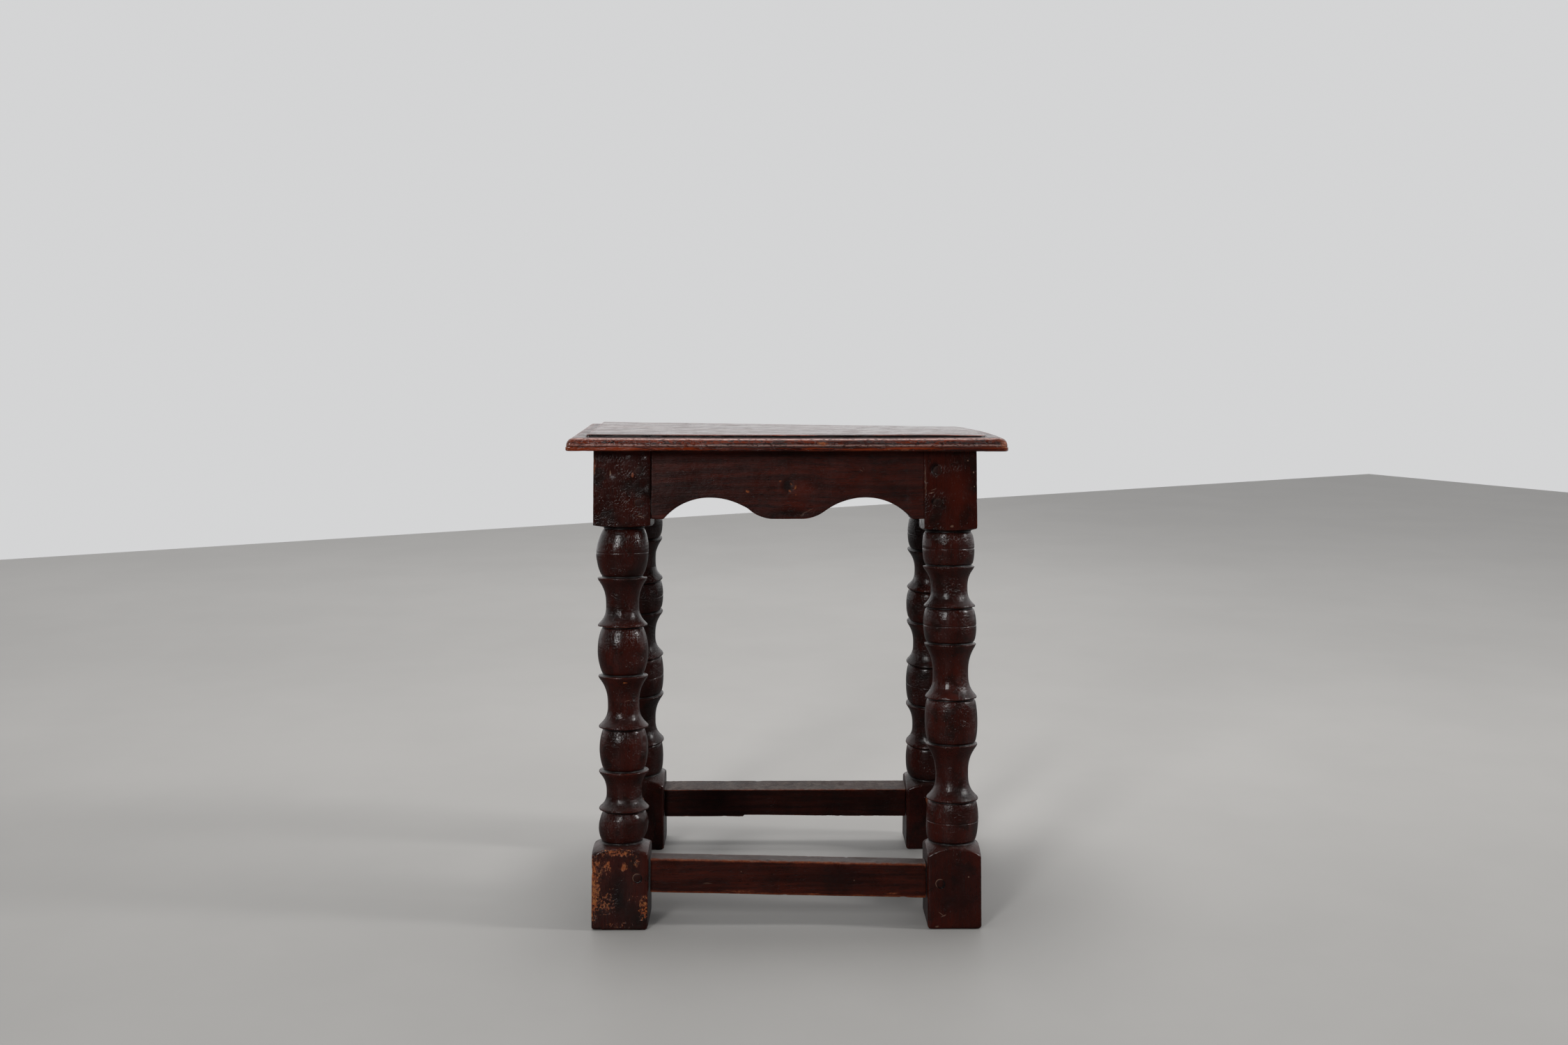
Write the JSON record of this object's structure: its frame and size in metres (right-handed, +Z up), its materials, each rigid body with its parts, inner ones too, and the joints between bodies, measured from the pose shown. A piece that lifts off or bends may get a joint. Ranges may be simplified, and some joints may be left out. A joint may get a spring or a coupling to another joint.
{
  "type": "joint stool",
  "caption": "Joint stool with raked ball-and-reel turned legs, arched aprons, low stretchers and a moulded rectangular top with a raised field.",
  "frame": {"origin": "on the floor, at the middle of the four feet", "axes": "+Z up; +X along the long side of the top, to the right seen from the front; +Y towards the back"},
  "size_m": [0.4536, 0.2982, 0.5],
  "materials": {
    "top_oak": "dark stained oak, waxed to a satin gloss, worn lighter on the edges",
    "turned_oak": "very dark stained turned oak, waxed, redder on the collars",
    "rail_oak": "dark red-brown stained oak, waxed, fine grain along the rail",
    "peg_oak": "very dark end-grain oak"
  },
  "bodies": {
    "root": {"top_board": "top_oak", "front_left_leg": "turned_oak", "front_right_leg": "turned_oak", "back_left_leg": "turned_oak", "back_right_leg": "turned_oak", "front_apron": "rail_oak", "back_apron": "rail_oak", "left_apron": "rail_oak", "right_apron": "rail_oak", "front_stretcher": "rail_oak", "back_stretcher": "rail_oak", "left_stretcher": "rail_oak", "right_stretcher": "rail_oak", "front_apron_pegs": "peg_oak", "back_apron_pegs": "peg_oak", "left_apron_pegs": "peg_oak", "right_apron_pegs": "peg_oak", "front_stretcher_pegs": "peg_oak", "back_stretcher_pegs": "peg_oak", "left_stretcher_pegs": "peg_oak", "right_stretcher_pegs": "peg_oak", "top_pegs": "peg_oak"}
  },
  "joints": []
}
